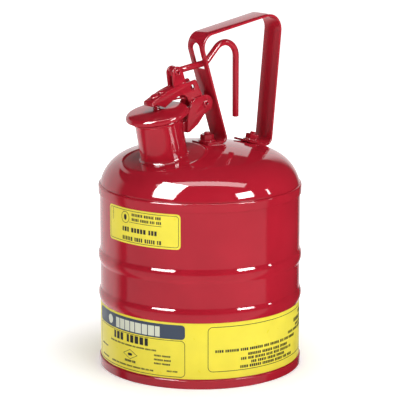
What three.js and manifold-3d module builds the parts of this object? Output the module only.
// Safety gas can: a sheet-steel can with a leaning neck, a spring-closed cap on a lever, and a
// trigger rod that lifts the cap from inside a tall strip handle.
//
// Millimetres, +Z up. The origin is the centre of the ring that the can stands on. The neck leans
// towards -X, the handle stands behind it, and Y = 0 is the plane of symmetry.
// What sits on the neck is drawn in the neck frame: its origin is the centre of the round seat that
// the neck stands on, u runs level across the neck towards the handle, and v runs up its axis.
import * as THREE from "three";
import { mergeVertices } from "three/addons/utils/BufferGeometryUtils.js";
import Module from "manifold-3d";

const wasm = await Module();
wasm.setup();

const radians = THREE.MathUtils.degToRad;

// ---- Driving dimensions: the can ---------------------------------------------------------------
const gap = 0.3; // between pieces that touch
const sheet = 1; // wall of the body, the bottom and the dome
const bodyRadius = 92; // outside of the plain wall
const wallHeight = 161.7; // from the floor to the lower edge of the top seam
const seamHeight = 8.4; // band of each rolled seam
const bottomRecess = 6; // how far the bottom pan stands off the floor
const beadSpacing = 36; // between the middles of the two rolled beads
const beadHalfHeight = 6.2;
const beadBulge = 1.7;
const crownRadius = 280; // the flat middle of the dome
const shoulderRadius = 35; // the dome's rounded edge
const labelThickness = 0.3;
const bandLabel = { bottom: 9.2, top: 61 };
const smallLabel = { aboveBead: 18.3, belowSeam: 1.7, middleAngle: -166.5, sweep: 50.6 };

// ---- Driving dimensions: the neck and its cap --------------------------------------------------
const neckX = -42.3; // where the neck's axis meets its seat
const neckTilt = 11.2; // degrees, towards -X
const neckRadius = 21.5;
const neckWall = 1.5;
const neckLength = 38; // from the seat to the top of the lip
const lipRadius = 1.6; // roll of the pouring lip
const seatRadius = 38.5;
const seatSink = 3; // how far the seat's middle lies below the dome's own curve
const arresterClearance = 2.5; // between the arrester's wall and the neck's bore
const arresterDepth = 46; // below the seat
const meshWall = 0.9;
const arresterDrop = 8; // the arrester's flange below the lip
const gasketThickness = 3;
const plateHeight = 2.3; // of the dished plate between the gasket and the cap
const retainerClearance = 6; // between the retainer's edge and the neck's bore
const retainerThickness = 1.2;
const gasketOverhang = 2.2; // beyond the neck's wall
const capOverhang = 5; // beyond the gasket
const capSheet = 1.2;
const capHeight = 6;
const capRimRadius = 3.6; // rounding of the cap's rim
const capFloat = 0.8; // how far the cap can lift or tip before it meets the lever
const reliefWire = 0.45; // radius of the relief spring's wire

// ---- Driving dimensions: the lever, its hinge and the trigger ----------------------------------
const pivotReach = 29; // of the hinge pin beyond the neck's wall
const pivotDrop = 1.5; // of the hinge pin below the top of the lip
const leverHalfWidth = 6;
const plate = 2; // sheet of the lever and of the hinge bracket
const sideClearance = 0.5; // between lever and bracket, each side
const pinRadius = 2.5;
const webRise = 12; // of the lever's web above the cap, on the neck's axis
const clevisRise = 15.8; // of the clevis pin above the web
const clevisSetback = 23.7; // of the clevis pin in front of the hinge pin
const lugHalfWidth = 4.7; // over both clevis lugs, halved
const rodRadius = 3;
const eyeWall = 2.1; // of the rod's eye, round its hole
const springWire = 0.8; // radius of the closing spring's wire
const springCoilRadius = 5.1; // to the middle of the wire
const springTurns = 3;

// ---- Driving dimensions: the handle ------------------------------------------------------------
const strip = 2; // thickness
const stripWidth = 22.2;
const hookRise = 20.5; // top of the trigger's hook above the clevis pin
const triggerSetback = 73.3; // of the trigger behind the clevis pin
const triggerFoot = 20.3; // end of the trigger above the crown of the dome
const gripRise = 8.9; // front end of the grip above the top of the hook
const legSetback = 11.5; // of the front leg behind the hinge pin, at the pin's height
const frontFootLength = 24.1;
const frontLegLean = 18.1; // degrees, the top towards the neck
const gripSlope = 8.9; // degrees, up towards the rear
const rearFootLength = 28;
const rearFootSlope = 17; // degrees: the rear foot lies on the dome where the dome falls as steeply
const rearLegLean = 6; // degrees, the top towards the rear
const rearLegSetback = 11.3; // of the rear leg behind the middle of its foot's seat
const bendRadius = 6.5; // lower bends, to the middle of the strip
const topFrontRadius = 12;
const topRearRadius = 14.5;
const slotClearance = 2.75; // on each side of the rod
const slotLength = 24;
const slotRise = 0.6; // bottom of the slot below the clevis pin
const boltRadius = 3;
const washerRadius = 8;
const washerHeight = 1.4;
const nutRadius = 6.4; // across corners, halved
const nutHeight = 5;
const frontBoltReach = 8.4; // of the front stud behind the end of its foot
const rearBoltReach = 4; // of the rear stud in front of the middle of its foot's seat

// ---- Materials ---------------------------------------------------------------------------------
const enamel = new THREE.MeshStandardMaterial({ color: 0xb02232, roughness: 0.18, metalness: 0.1 });
const yellowFilm = new THREE.MeshStandardMaterial({ color: 0xf7e95e, roughness: 0.35 });
const blackRubber = new THREE.MeshStandardMaterial({ color: 0x1b1b1c, roughness: 0.7 });
const brightSteel = new THREE.MeshStandardMaterial({ color: 0xb9bcc0, roughness: 0.35, metalness: 0.9 });
const brass = new THREE.MeshStandardMaterial({ color: 0xc2a05a, roughness: 0.35, metalness: 0.9 });

// ---- Solids ------------------------------------------------------------------------------------
function solid(geometry) {
  const bare = geometry.index ? geometry.toNonIndexed() : geometry.clone();
  bare.deleteAttribute("normal");
  bare.deleteAttribute("uv");
  const merged = mergeVertices(bare, 1e-4);
  return new wasm.Manifold(
    new wasm.Mesh({
      numProp: 3,
      vertProperties: merged.attributes.position.array,
      triVerts: new Uint32Array(merged.index.array),
    }),
  );
}

function geometryOf(shape) {
  const { vertProperties, triVerts } = shape.getMesh();
  return new THREE.BufferGeometry()
    .setAttribute("position", new THREE.BufferAttribute(vertProperties, 3))
    .setIndex(new THREE.BufferAttribute(triVerts, 1))
    .toNonIndexed();
}

function joined(...shapes) {
  return shapes.reduce((whole, next) => whole.add(next));
}

function cut(shape, ...tools) {
  return tools.reduce((rest, tool) => rest.subtract(tool), shape);
}

// Turns a closed outline of [radius, height] points about the Z axis.
function turned(outline, segments = 40) {
  const points = outline.map(([r, z]) => new THREE.Vector2(Math.max(r, 0), z));
  const onAxis = points[0].x === 0 && points.at(-1).x === 0;
  if (!onAxis) points.push(points[0].clone());
  if (THREE.ShapeUtils.area(points) < 0) points.reverse();
  return solid(new THREE.LatheGeometry(points, segments).rotateX(Math.PI / 2));
}

function disc(radius, from, to, segments = 32) {
  return turned([[0, from], [radius, from], [radius, to], [0, to]], segments);
}

function ring(inner, outer, from, to, segments = 32) {
  return turned([[inner, from], [outer, from], [outer, to], [inner, to]], segments);
}

// Extrudes an outline drawn in the XZ plane along Y, from one side to the other.
function slab(outline, fromY, toY) {
  const corners = Array.isArray(outline) ? outline.map(([x, z]) => new THREE.Vector2(x, z)) : null;
  const shape = corners ? new THREE.Shape(corners) : outline;
  const options = { depth: toY - fromY, bevelEnabled: false, curveSegments: 12 };
  const body = new THREE.ExtrudeGeometry(shape, options);
  return solid(body.rotateX(Math.PI / 2).translate(0, toY, 0));
}

function block(x, y, z) {
  const box = new THREE.BoxGeometry(x[1] - x[0], y[1] - y[0], z[1] - z[0]);
  return solid(box.translate((x[0] + x[1]) / 2, (y[0] + y[1]) / 2, (z[0] + z[1]) / 2));
}

// A cylinder across the plane of symmetry, through [x, z].
function crossPin(x, z, radius, fromY, toY, segments = 24) {
  const rod = new THREE.CylinderGeometry(radius, radius, toY - fromY, segments);
  return solid(rod.translate(x, (fromY + toY) / 2, z));
}

// Points of a circular arc, in degrees.
function arc(x, z, radius, from, to, steps = 8) {
  return Array.from({ length: steps + 1 }, (_, i) => {
    const angle = radians(from + ((to - from) * i) / steps);
    return [x + radius * Math.cos(angle), z + radius * Math.sin(angle)];
  });
}

// A path through corners, each [x, z, radius]: rounded where it has a radius, as [x, z] points.
function rounded(corners, steps = 7) {
  const path = [];
  corners.forEach(([x, z, radius = 0], i) => {
    if (!radius || i === 0 || i === corners.length - 1) {
      path.push([x, z]);
      return;
    }
    const corner = new THREE.Vector2(x, z);
    const before = new THREE.Vector2(corners[i - 1][0], corners[i - 1][1]).sub(corner).normalize();
    const after = new THREE.Vector2(corners[i + 1][0], corners[i + 1][1]).sub(corner).normalize();
    const half = Math.acos(THREE.MathUtils.clamp(before.dot(after), -1, 1)) / 2;
    const bisector = before.clone().add(after).normalize();
    const centre = bisector.multiplyScalar(radius / Math.sin(half)).add(corner);
    const start = before.clone().multiplyScalar(radius / Math.tan(half)).add(corner).sub(centre);
    const end = after.clone().multiplyScalar(radius / Math.tan(half)).add(corner).sub(centre);
    let sweep = end.angle() - start.angle();
    if (sweep > Math.PI) sweep -= 2 * Math.PI;
    if (sweep < -Math.PI) sweep += 2 * Math.PI;
    for (let k = 0; k <= steps; k++) {
      const turn = start.angle() + (sweep * k) / steps;
      path.push([centre.x + radius * Math.cos(turn), centre.y + radius * Math.sin(turn)]);
    }
  });
  return path;
}

// The outline of a strip of a given thickness whose middle follows a path.
function stripOutline(path, thickness) {
  const sides = [[], []];
  path.forEach(([x, z], i) => {
    const back = path[Math.max(i - 1, 0)];
    const on = path[Math.min(i + 1, path.length - 1)];
    const along = new THREE.Vector2(on[0] - back[0], on[1] - back[1]).normalize();
    sides[0].push([x - (along.y * thickness) / 2, z + (along.x * thickness) / 2]);
    sides[1].push([x + (along.y * thickness) / 2, z - (along.x * thickness) / 2]);
  });
  return [...sides[0], ...sides[1].reverse()];
}

// A round bar along a curve through 3-D points.
function bar(points, radius, steps, sides = 12) {
  const curve = new THREE.CatmullRomCurve3(points, false, "centripetal");
  const section = new THREE.Shape().absarc(0, 0, radius, 0, 2 * Math.PI);
  const options = { steps, curveSegments: sides / 2, bevelEnabled: false, extrudePath: curve };
  return solid(new THREE.ExtrudeGeometry(section, options));
}

// ---- The dome's curve --------------------------------------------------------------------------
const seamRadius = bodyRadius + gap + sheet; // outside of the rolled seams
const seamTop = wallHeight + seamHeight;
const domeEdge = bodyRadius - 0.7; // where the dome's curve would stand upright
const shoulderZ = wallHeight + 1.2; // height of the shoulder's centre
const shoulderX = domeEdge - shoulderRadius; // radius of the shoulder's centre
const crownZ = shoulderZ - Math.sqrt((crownRadius - shoulderRadius) ** 2 - shoulderX ** 2);
const domeTop = crownZ + crownRadius;
const joinAngle = THREE.MathUtils.radToDeg(Math.atan2(shoulderZ - crownZ, shoulderX));

function domeHeight(r) {
  const join = crownRadius * Math.cos(radians(joinAngle));
  if (r < join) return crownZ + Math.sqrt(crownRadius ** 2 - r ** 2);
  return shoulderZ + Math.sqrt(shoulderRadius ** 2 - (r - shoulderX) ** 2);
}

const seatZ = domeHeight(Math.abs(neckX)) - seatSink;
const tilt = radians(neckTilt);

function fromNeck(u, v) {
  return [
    neckX + u * Math.cos(tilt) - v * Math.sin(tilt),
    seatZ + u * Math.sin(tilt) + v * Math.cos(tilt),
  ];
}

const neckMatrix = new THREE.Matrix4().makeRotationY(-tilt).setPosition(neckX, 0, seatZ);

function inCanFrame(shape) {
  return shape.transform(neckMatrix.elements);
}

// ---- The can -----------------------------------------------------------------------------------
const segments = 40;

const firstBead = bandLabel.top + gap + beadHalfHeight;
const beadHeights = [firstBead, firstBead + beadSpacing];

// The wall's line from bottom to top, with a shallow circular bead at each height.
function wallLine(offset) {
  const line = [[bodyRadius - offset, sheet + gap]];
  const radius = (beadHalfHeight ** 2 + beadBulge ** 2) / (2 * beadBulge);
  const reach = THREE.MathUtils.radToDeg(Math.asin(beadHalfHeight / radius));
  for (const z of beadHeights) {
    const centre = bodyRadius + beadBulge - radius;
    line.push(...arc(centre - offset, z, radius, -reach, reach, 4));
  }
  line.push([bodyRadius - offset, seamTop - sheet - gap]);
  return line;
}

function makeBodyShell() {
  return turned([...wallLine(0), ...wallLine(sheet).reverse()], segments);
}

function makeBottomPan() {
  const inner = bodyRadius - sheet - gap;
  return turned(
    [
      [0, bottomRecess],
      [inner - sheet - 2, bottomRecess],
      [inner - sheet, bottomRecess - 2],
      [inner - sheet, 0.6],
      [inner - sheet + 0.6, 0],
      [seamRadius - 1, 0],
      [seamRadius, 1],
      [seamRadius, seamHeight - 0.8],
      [seamRadius - 0.4, seamHeight - 0.4],
      [bodyRadius + gap, seamHeight - 0.4],
      [bodyRadius + gap, sheet],
      [inner, sheet],
      [inner, bottomRecess - 1.2],
      [inner - 2.2, bottomRecess + sheet],
      [0, bottomRecess + sheet],
    ],
    segments,
  );
}

// The dome as a filled form, every surface moved in by the same amount.
function domeForm(inset, floor) {
  const edge = domeEdge - 1 - inset;
  const shoulderReach = Math.acos((edge - shoulderX) / (shoulderRadius - inset));
  const from = THREE.MathUtils.radToDeg(shoulderReach);
  const shoulder = arc(shoulderX, shoulderZ, shoulderRadius - inset, from, joinAngle, 4);
  const crown = arc(0, crownZ, crownRadius - inset, joinAngle, 90, 3);
  const curve = [...shoulder, ...crown.slice(1, -1), [0, domeTop - inset]];
  const filled = turned([[0, floor], [edge, floor], ...curve], segments);
  const above = inCanFrame(disc(seatRadius - inset, -inset, 30, 40));
  const below = inCanFrame(disc(seatRadius - inset, -40, -inset, 40));
  const trimmed = filled.intersect(disc(bodyRadius, floor, domeTop + 9, segments));
  const pedestal = below.intersect(disc(bodyRadius, floor + 6, domeTop + 9, segments));
  return joined(trimmed.subtract(above), pedestal);
}

function makeDomeTop() {
  const seam = turned(
    [
      [domeEdge - 1.6 - sheet, seamTop - 2.4],
      [domeEdge - 0.6, seamTop - 2.4],
      [domeEdge - 0.6, seamTop - sheet],
      [bodyRadius + gap, seamTop - sheet],
      [bodyRadius + gap, wallHeight],
      [seamRadius, wallHeight + 0.4],
      [seamRadius, seamTop - 1.6],
      [seamRadius - 1.2, seamTop],
      [domeEdge + 0.1, seamTop - 0.2],
      [domeEdge - 1.6 - sheet, seamTop - 1],
    ],
    segments,
  );
  const hole = inCanFrame(disc(neckRadius - neckWall, -20, 20, 40));
  const shell = cut(domeForm(0, seamTop - 2.4), domeForm(sheet, seamTop - 12), hole);
  return joined(shell, seam);
}

// ---- The neck, drawn in the neck frame ---------------------------------------------------------
const neckBore = neckRadius - neckWall;
const arresterRadius = neckBore - arresterClearance;
const lipV = neckLength - lipRadius;

function makeNeckTube() {
  const roll = arc(neckRadius + 0.3, lipV, lipRadius, -80, 120, 5);
  return turned(
    [
      [neckBore, gap],
      [neckRadius + 0.9, gap],
      [neckRadius, 1.4],
      [neckRadius, lipV - lipRadius - 0.5],
      ...roll,
      [neckBore, neckLength - 0.9],
    ],
    40,
  );
}

// The bead of solder that seals the neck to its seat.
function makeNeckBead() {
  const inner = neckRadius + 0.9 + gap;
  const face = [[inner + 2.4, gap], [inner + 1.5, 0.9], [inner + 0.7, 1.8]];
  return turned([[inner, gap], ...face, [inner, 3]], 40);
}

// A cup of perforated sheet that hangs in the neck from a flange.
function makeFlameArrester() {
  const inner = arresterRadius - meshWall;
  const flangeV = neckLength - arresterDrop;
  return turned(
    [
      [0, -arresterDepth],
      [arresterRadius, -arresterDepth],
      [arresterRadius, flangeV - meshWall],
      [neckBore - gap, flangeV - meshWall],
      [neckBore - gap, flangeV],
      [inner, flangeV],
      [inner, meshWall - arresterDepth],
      [0, meshWall - arresterDepth],
    ],
    40,
  );
}

function makeArresterRing() {
  const bottom = neckLength - arresterDrop + gap;
  return ring(neckBore - gap - 2, neckBore - gap, bottom, bottom + 1.6, 40);
}

// ---- The cap, drawn in the neck frame ----------------------------------------------------------
const studRadius = leverHalfWidth - plate - 2 * reliefWire - 3 * gap;
const gasketOuter = neckRadius + gasketOverhang;
const capRadius = gasketOuter + capOverhang;
const gasketBottom = neckLength + gap;
const gasketTop = gasketBottom + gasketThickness;
const capTop = gasketTop + plateHeight + capSheet + 2 * gap; // flat middle of the cap
const capRim = capTop - capHeight; // lowest edge of the cap
const webSlope = 13.7; // degrees: how much steeper than the cap the lever's nose is
const webV = capTop + webRise; // top of the lever's web, on the neck's axis

function makeCap() {
  const shoulder = capRadius - capRimRadius;
  const widest = capRim + 1.6;
  const top = [
    [studRadius + gap, capTop],
    [12, capTop - 0.1],
    [shoulder - 4, capTop - 0.5],
    ...arc(shoulder, widest, capRimRadius, 82, 0, 3),
    [capRadius - 0.4, capRim + 0.5],
    [capRadius - 1.2, capRim],
  ];
  const under = [
    [capRadius - 1.9, capRim + 0.4],
    ...arc(shoulder, widest, capRimRadius - capSheet, 0, 82, 3),
    [shoulder - 4, capTop - 0.5 - capSheet],
    [12, capTop - 0.1 - capSheet],
    [studRadius + gap, capTop - capSheet],
  ];
  return turned([...top, ...under], 40);
}

function makeGasket() {
  return ring(studRadius + gap, gasketOuter, gasketBottom, gasketTop, 40);
}

// The dished plate that backs the gasket and holds it off the cap.
function makeGasketPlate() {
  const bottom = gasketTop + gap;
  const top = bottom + plateHeight - 0.1;
  return turned(
    [
      [studRadius + gap, top],
      [8, top],
      [11, bottom + 1],
      [gasketOuter - 3, bottom + 1],
      [gasketOuter - 3, bottom],
      [studRadius + gap, bottom],
    ],
    40,
  );
}

function makeRetainer() {
  const top = gasketBottom - gap;
  return ring(studRadius + gap, neckBore - retainerClearance, top - retainerThickness, top, 36);
}

// The stud: a peened end under the retainer, a shank, and a head that lies on the sloping web.
function makeCapStud() {
  const foot = gasketBottom - retainerThickness - 2 * gap;
  const slope = new THREE.Matrix4().makeRotationY(-radians(webSlope)).setPosition(0, 0, webV + gap);
  const head = turned([[0, 0], [4.2, 0], [4.2, 0.7], [3.2, 1.6], [1.6, 2.1], [0, 2.2]], 24);
  const peened = [[0, foot - 2.2], [3.4, foot - 2.2], [5, foot - 1], [5, foot]];
  const shank = turned([...peened, [studRadius, foot], [studRadius, webV + 0.8], [0, webV + 0.8]], 24);
  return joined(shank, head.transform(slope.elements));
}

// A few turns of wire between the cap and the lever, round the stud.
function makeReliefSpring() {
  const inner = studRadius + gap + reliefWire;
  const bottom = capTop + gap + reliefWire;
  const top = webV - plate - 1.9;
  const turns = 3;
  const points = Array.from({ length: turns * 10 + 1 }, (_, i) => {
    const angle = (2 * Math.PI * i) / 10;
    const height = bottom + ((top - bottom) * i) / (turns * 10);
    return new THREE.Vector3(inner * Math.cos(angle), inner * Math.sin(angle), height);
  });
  return bar(points, reliefWire, turns * 12, 6);
}

// ---- The lever, drawn in the neck frame --------------------------------------------------------
const pivot = { u: neckRadius + pivotReach, v: neckLength - pivotDrop };
const clevisPin = { u: pivot.u - clevisSetback, v: webV + clevisRise };
const lugRadius = 6;
const lugDrop = 1; // how far the lug's rounding is centred below its pin
const lugBase = { front: clevisPin.u - 6.8, rear: clevisPin.u + 8.2 };

// The side of the lever as one outline: nose, top line, clevis lug, rear plate and spring arch.
function leverSide() {
  const slope = Math.tan(radians(webSlope));
  const top = (u) => webV + Math.min(u, 10.5) * slope;
  const shape = new THREE.Shape();
  shape.moveTo(-8.6, top(-8.6) - 3.6);
  shape.lineTo(-8.6, top(-8.6) - 1.6);
  shape.quadraticCurveTo(-8.4, top(-6.6), -6, top(-6));
  shape.lineTo(10.5, top(10.5));
  shape.lineTo(21, top(10.5) + 1);
  shape.lineTo(pivot.u - 6.5, top(10.5) + 0.8);
  shape.quadraticCurveTo(pivot.u - 5.4, top(10.5) + 0.7, pivot.u - 5, top(10.5) - 0.6);
  shape.lineTo(pivot.u - 0.6, pivot.v + 7.2);
  shape.absarc(pivot.u, pivot.v, 6.2, radians(75), radians(-125), true);
  shape.lineTo(pivot.u - 14, pivot.v - 0.4);
  shape.lineTo(pivot.u - 15.6, pivot.v + 3.4);
  shape.lineTo(pivot.u - 18, pivot.v + 10);
  shape.quadraticCurveTo(pivot.u - 20, pivot.v + 15, pivot.u - 25.5, pivot.v + 15.3);
  shape.quadraticCurveTo(pivot.u - 32, pivot.v + 15, 8, capTop + 1.9);
  shape.lineTo(5.6, capTop + capFloat + gap);
  shape.lineTo(-2.8, webV - 5.4);
  shape.lineTo(-5.6, webV - 5.2);
  shape.lineTo(-7, top(-8.6) - 3.8);
  return shape;
}

function clevisLug() {
  const shape = new THREE.Shape();
  shape.moveTo(lugBase.front, webV);
  shape.lineTo(clevisPin.u - lugRadius, clevisPin.v - lugDrop);
  shape.absarc(clevisPin.u, clevisPin.v - lugDrop, lugRadius, Math.PI, radians(15), true);
  shape.lineTo(lugBase.rear, webV);
  return shape;
}

function makeLever() {
  const inner = leverHalfWidth - plate;
  const sides = slab(leverSide(), -leverHalfWidth, leverHalfWidth);
  const webEnd = pivot.u - 16.5;
  const underWeb = [[-6.6, webV - 3.7], [10.5, webV + 0.5], [webEnd, webV + 1]];
  const beyond = [[webEnd, webV + 40], [pivot.u + 20, webV + 40], [pivot.u + 20, neckLength - 20]];
  const channel = slab([[-6.6, neckLength - 20], ...underWeb, ...beyond], -inner, inner);
  const lugs = [-1, 1].map((side) => {
    const y = [(lugHalfWidth - plate) * side, lugHalfWidth * side].sort((a, b) => a - b);
    return slab(clevisLug(), y[0], y[1]);
  });
  const studSlot = disc(studRadius + 0.7, capTop, webV + 15, 20);
  const sightHole = crossPin(pivot.u - 10.6, webV - 2.4, 2.4, -20, 20, 16);
  const pivotHole = crossPin(pivot.u, pivot.v, pinRadius + 0.1, -20, 20, 20);
  const clevisHole = crossPin(clevisPin.u, clevisPin.v, pinRadius + 0.1, -20, 20, 20);
  return cut(joined(cut(sides, channel), ...lugs), studSlot, sightHole, pivotHole, clevisHole);
}

// A rivet through the lever's web that anchors the relief spring's upper seat.
function makeSeatRivet() {
  const slope = new THREE.Matrix4()
    .makeRotationY(-radians(webSlope))
    .setPosition(7.6, 0, webV + 7.6 * Math.tan(radians(webSlope)) + gap);
  return turned([[0, 0], [2.9, 0], [2.9, 0.6], [2, 1.5], [0, 1.9]], 20).transform(slope.elements);
}

// ---- The hinge bracket and its pin, drawn in the neck frame ------------------------------------
const earInner = leverHalfWidth + sideClearance;
const earOuter = earInner + plate;
const earRadius = 7.8; // round the hinge pin

function earSide() {
  const shape = new THREE.Shape();
  shape.moveTo(neckRadius + 2.5, pivot.v - 19.7);
  shape.lineTo(neckRadius + 4.8, pivot.v - 10.1);
  shape.lineTo(neckRadius + 7.4, pivot.v - 2.5);
  shape.lineTo(neckRadius + 11.7, pivot.v + 4.1);
  shape.quadraticCurveTo(pivot.u - 14.5, pivot.v + 7.7, pivot.u - 9.5, pivot.v + earRadius);
  shape.lineTo(pivot.u, pivot.v + earRadius);
  shape.absarc(pivot.u, pivot.v, earRadius, Math.PI / 2, radians(-60), true);
  shape.lineTo(pivot.u - 4, pivot.v - 9.5);
  shape.lineTo(pivot.u - 12.5, pivot.v - 15.9);
  shape.lineTo(neckRadius + 5.5, pivot.v - 20.1);
  return shape;
}

function makeHingeBracket() {
  const ears = slab(earSide(), -earOuter, earOuter);
  const low = pivot.v - 27;
  const high = pivot.v + 24;
  const far = pivot.u + 20;
  const web = [[neckRadius + 4.7, low], [neckRadius + 6.9, pivot.v - 10.1], [neckRadius + 6.9, high]];
  const between = slab([...web, [far, high], [far, low]], -earInner, earInner);
  const mouthFloor = pivot.v - 9.5;
  const mouth = slab([[0, mouthFloor], [0, high], [far, high], [far, mouthFloor]], -earInner, earInner);
  const padInner = neckRadius - 4;
  const padSide = [[neckRadius + 5.5, pivot.v - 10.5], [neckRadius + 3.5, pivot.v - 19]];
  const pad = slab([[padInner, pivot.v - 19], [padInner, pivot.v - 10.5], ...padSide], -5, 5);
  const neckRoom = disc(neckRadius + gap, 0, high, 40);
  const pinHole = crossPin(pivot.u, pivot.v, pinRadius + 0.1, -20, 20, 20);
  return cut(joined(cut(ears, between, mouth), pad), neckRoom, pinHole);
}

// A shouldered pin across the plane of symmetry with a domed head at each end.
function headedPin(at, reach, headRadius) {
  const shank = crossPin(at.u, at.v, pinRadius, -reach - gap, reach + gap, 20);
  const heads = [-1, 1].map((side) => {
    const rim = [[headRadius, 0], [headRadius, 0.7], [headRadius * 0.6, 1.6]];
    const head = turned([[0, 0], ...rim, [0, 1.9]], 20);
    const place = new THREE.Matrix4()
      .makeRotationX((-side * Math.PI) / 2)
      .setPosition(at.u, side * (reach + gap), at.v);
    return head.transform(place.elements);
  });
  return joined(shank, ...heads);
}

function makePivotSleeve() {
  const outer = springCoilRadius - springWire - 2 * gap;
  const reach = leverHalfWidth - plate - gap;
  const tube = ring(pinRadius + 0.2, outer, -reach, reach, 20);
  const place = new THREE.Matrix4().makeRotationX(Math.PI / 2).setPosition(pivot.u, 0, pivot.v);
  return tube.transform(place.elements);
}

// Torsion spring: one leg presses the cap down, the coil runs round the sleeve, and the other leg
// bears on the bracket's web.
function makeClosingSpring() {
  const half = leverHalfWidth - plate - springWire - gap;
  const nearLeg = [
    [7.6, -half, capTop + gap + springWire],
    [14, -half, capTop + 3.6],
    [pivot.u - 26.5, -half, pivot.v + 12.4],
    [pivot.u - 17.5, -half, pivot.v + 9.8],
    [pivot.u - 9.5, -half, pivot.v + springCoilRadius + 1.6],
  ];
  const turns = Array.from({ length: springTurns * 12 + 1 }, (_, i) => {
    const angle = Math.PI / 2 - (2 * Math.PI * i) / 12;
    return [
      pivot.u + springCoilRadius * Math.cos(angle),
      -half + (2 * half * i) / (springTurns * 12),
      pivot.v + springCoilRadius * Math.sin(angle),
    ];
  });
  const farLeg = [
    [pivot.u - 9.5, half, pivot.v + springCoilRadius - 3],
    [neckRadius + 10.5, half, pivot.v - 10.5],
    [neckRadius + 7.9, half, pivot.v - 15.5],
  ];
  const points = [...nearLeg, ...turns, ...farLeg].map(([u, y, v]) => new THREE.Vector3(u, y, v));
  return bar(points, springWire, springTurns * 12 + 20, 6);
}

// ---- The trigger rod, in the can's frame -------------------------------------------------------
const rodEye = fromNeck(clevisPin.u, clevisPin.v);
const rodDrop = {
  x: rodEye[0] + triggerSetback,
  top: rodEye[1] + hookRise,
  bottom: domeTop + triggerFoot,
};
const eyeRadius = pinRadius + 0.1 + eyeWall;

// The middle of the rod: back through the handle's slot, up, over in a hook, and down as the trigger.
function rodPath() {
  const [x, z] = rodEye;
  const bend = [x + 37, z + 4.2];
  const hookRadius = 14;
  const rise = 44; // degrees
  const centre = [rodDrop.x - hookRadius, rodDrop.top - hookRadius];
  const hook = arc(centre[0], centre[1], hookRadius, 90 + rise, 0, 9);
  const straight = rounded([[x, z], [bend[0], bend[1], 9], hook[0]], 3);
  return [...straight.slice(0, -1), ...hook, [rodDrop.x, rodDrop.bottom]];
}

function makeTriggerRod() {
  const points = rodPath().map(([x, z]) => new THREE.Vector3(x, 0, z));
  points[0].addScaledVector(points[1].clone().sub(points[0]).normalize(), 1.5);
  const steps = [];
  points.forEach((point, i) => {
    if (i) steps.push(points[i - 1].clone().lerp(point, 0.5));
    steps.push(point);
  });
  const half = lugHalfWidth - plate - 0.4;
  const flatReach = lugRadius + 2;
  const eye = crossPin(rodEye[0], rodEye[1], eyeRadius, -half, half, 24);
  const hole = crossPin(rodEye[0], rodEye[1], pinRadius + 0.1, -half - 1, half + 1, 20);
  const flats = [-1, 1].map((side) => {
    const y = [half * side, 2 * rodRadius * side].sort((a, b) => a - b);
    return crossPin(rodEye[0], rodEye[1], flatReach, y[0], y[1], 24);
  });
  return cut(joined(cut(bar(steps, rodRadius, 34, 8), ...flats), eye), hole);
}

// ---- The handle, in the can's frame ------------------------------------------------------------
function meet([x1, z1], slope1, [x2, z2], slope2) {
  const x = (z2 - z1 + slope1 * x1 - slope2 * x2) / (slope1 - slope2);
  return [x, z1 + slope1 * (x - x1)];
}

const frontFootZ = domeTop + gap + strip / 2;
const footSlope = radians(rearFootSlope);
const rearTouch = shoulderX + shoulderRadius * Math.sin(footSlope); // where the rear foot touches
const footFall = -Math.tan(footSlope);
const rearFootMiddle = [rearTouch, domeHeight(rearTouch) + (gap + strip / 2) / Math.cos(footSlope)];
const rearBend = [rearTouch + rearLegSetback, rearFootMiddle[1] + footFall * rearLegSetback];
const legSlope = -1 / Math.tan(radians(frontLegLean));
const hinge = fromNeck(pivot.u, pivot.v);
const frontLegX = hinge[0] + legSetback - (hinge[1] - frontFootZ) / legSlope;
const frontFootX = frontLegX - frontFootLength;
const gripFront = rodDrop.top + gripRise;
const frontTop = [frontLegX + (gripFront - frontFootZ) / legSlope, gripFront];
const rearTop = meet(frontTop, Math.tan(radians(gripSlope)), rearBend, 1 / Math.tan(radians(rearLegLean)));

function handlePath() {
  const along = rearFootLength * Math.cos(footSlope);
  return rounded([
    [frontFootX, frontFootZ],
    [frontLegX, frontFootZ, bendRadius - 2.5],
    [...frontTop, topFrontRadius],
    [...rearTop, topRearRadius],
    [...rearBend, bendRadius],
    [rearBend[0] - along, rearBend[1] - footFall * along],
  ]);
}

// Turns a shape made on the Z axis to stand on the rear foot.
function onRearFoot(shape) {
  const x = rearTouch - rearBoltReach;
  const z = rearFootMiddle[1] - footFall * rearBoltReach;
  const place = new THREE.Matrix4().makeRotationY(footSlope).setPosition(x, 0, z);
  return shape.transform(place.elements);
}

function onFrontFoot(shape) {
  return shape.translate([frontFootX + frontBoltReach, 0, frontFootZ]);
}

function makeHandle() {
  const whole = slab(stripOutline(handlePath(), strip), -stripWidth / 2, stripWidth / 2);
  const slotWidth = 2 * (rodRadius + slotClearance);
  const low = rodEye[1] - slotRise;
  const high = low + slotLength - slotWidth / 2;
  const legX = frontLegX + (low - frontFootZ) / legSlope;
  const opening = block([legX - 16, legX + 10], [-slotWidth / 2, slotWidth / 2], [low, high]);
  const crest = disc(slotWidth / 2, legX - 16, legX + 10, 20);
  const slot = joined(opening, crest.rotate([0, 90, 0]).translate([0, 0, high]));
  const hole = disc(boltRadius + gap, -6, 6, 20);
  return cut(whole, slot, onFrontFoot(hole), onRearFoot(hole));
}

const footTop = strip / 2 + gap;

// A threaded stud welded to the dome, standing up through the foot.
function makeBolt(drop) {
  const top = footTop + washerHeight + nutHeight + 2.2;
  const tip = [[boltRadius, top - 0.8], [boltRadius - 0.7, top], [0, top]];
  return turned([[0, drop], [boltRadius, drop], ...tip], 20);
}

function makeWasher() {
  return ring(boltRadius + gap, washerRadius, footTop, footTop + washerHeight - gap, 28);
}

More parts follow.
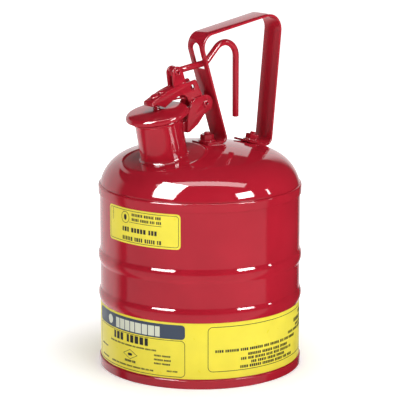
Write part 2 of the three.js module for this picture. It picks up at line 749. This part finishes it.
function makeNut() {
  const bottom = footTop + washerHeight;
  const prism = new THREE.CylinderGeometry(nutRadius, nutRadius, nutHeight, 6);
  const hex = solid(prism.rotateX(Math.PI / 2).translate(0, 0, bottom + nutHeight / 2));
  return cut(hex, disc(boltRadius + gap, bottom - 1, bottom + nutHeight + 1, 20));
}

// ---- Labels ------------------------------------------------------------------------------------
function makeSmallLabel() {
  const inner = bodyRadius + gap;
  const from = radians(smallLabel.middleAngle - smallLabel.sweep / 2);
  const to = radians(smallLabel.middleAngle + smallLabel.sweep / 2);
  const shape = new THREE.Shape();
  shape.absarc(0, 0, inner + labelThickness, from, to, false);
  shape.absarc(0, 0, inner, to, from, true);
  const bottom = beadHeights[1] + beadHalfHeight + smallLabel.aboveBead;
  const height = wallHeight - smallLabel.belowSeam - bottom;
  const film = new THREE.ExtrudeGeometry(shape, { depth: height, bevelEnabled: false, curveSegments: 12 });
  return solid(film.translate(0, 0, bottom));
}

function makeBandLabel() {
  const inner = bodyRadius + gap;
  return ring(inner, inner + labelThickness, bandLabel.bottom, bandLabel.top, segments);
}

// ---- The whole can -----------------------------------------------------------------------------
const can = new THREE.Group();
const onNeck = new THREE.Group();
onNeck.applyMatrix4(neckMatrix);
can.add(onNeck);

function add(group, name, shape, material) {
  const mesh = new THREE.Mesh(geometryOf(shape), material.clone());
  mesh.name = name;
  group.add(mesh);
}

add(can, "body_shell", makeBodyShell(), enamel);
add(can, "bottom_pan", makeBottomPan(), enamel);
add(can, "dome_top", makeDomeTop(), enamel);
add(can, "band_label", makeBandLabel(), yellowFilm);
add(can, "small_label", makeSmallLabel(), yellowFilm);
add(can, "handle", makeHandle(), enamel);
add(can, "front_foot_stud", onFrontFoot(makeBolt(-strip / 2)), enamel);
add(can, "front_foot_washer", onFrontFoot(makeWasher()), enamel);
add(can, "front_foot_nut", onFrontFoot(makeNut()), enamel);
add(can, "rear_foot_stud", onRearFoot(makeBolt(-strip / 2)), enamel);
add(can, "rear_foot_washer", onRearFoot(makeWasher()), enamel);
add(can, "rear_foot_nut", onRearFoot(makeNut()), enamel);
add(can, "trigger_rod", makeTriggerRod(), enamel);

add(onNeck, "neck_tube", makeNeckTube(), enamel);
add(onNeck, "neck_solder_bead", makeNeckBead(), enamel);
add(onNeck, "flame_arrester", makeFlameArrester(), brightSteel);
add(onNeck, "arrester_ring", makeArresterRing(), brightSteel);
add(onNeck, "hinge_bracket", makeHingeBracket(), enamel);
add(onNeck, "pivot_pin", headedPin(pivot, earOuter, 4), enamel);
add(onNeck, "pivot_sleeve", makePivotSleeve(), enamel);
add(onNeck, "closing_spring", makeClosingSpring(), enamel);
add(onNeck, "lever_arm", makeLever(), enamel);
add(onNeck, "seat_rivet", makeSeatRivet(), enamel);
add(onNeck, "clevis_pin", headedPin(clevisPin, lugHalfWidth, 3.4), enamel);
add(onNeck, "cap", makeCap(), enamel);
add(onNeck, "cap_gasket", makeGasket(), blackRubber);
add(onNeck, "gasket_plate", makeGasketPlate(), brightSteel);
add(onNeck, "gasket_retainer", makeRetainer(), brass);
add(onNeck, "cap_stud", makeCapStud(), enamel);
add(onNeck, "relief_spring", makeReliefSpring(), brightSteel);

export default can;
